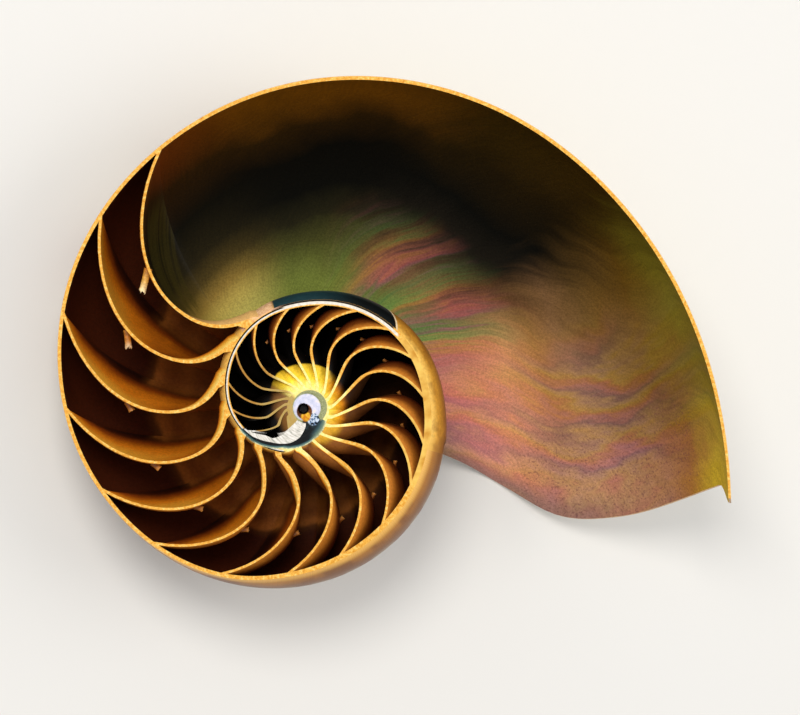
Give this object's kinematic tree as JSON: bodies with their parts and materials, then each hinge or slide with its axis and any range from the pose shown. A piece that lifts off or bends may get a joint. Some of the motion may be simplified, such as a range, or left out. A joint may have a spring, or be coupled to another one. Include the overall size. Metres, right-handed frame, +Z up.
{
  "type": "nautilus shell half",
  "caption": "Half of a nautilus shell, sawn along its coil, showing the open body chamber, dished partitions, siphon tubes and coiled core.",
  "frame": {"origin": "on the resting surface, under the middle of the shell half's box", "axes": "+X towards the lip side of the cut face, +Y towards the top of the coil as pictured, +Z up; the half lies on its rounded side with the cut face up, tipped 12 degrees"},
  "size_m": [0.1332, 0.1028, 0.0466],
  "materials": {
    "shell": "satin mother of pearl inside, pale gold on the sawn edges, cream with brown flames outside"
  },
  "bodies": {
    "root": {"nautilus_shell_half": "shell"}
  },
  "joints": []
}
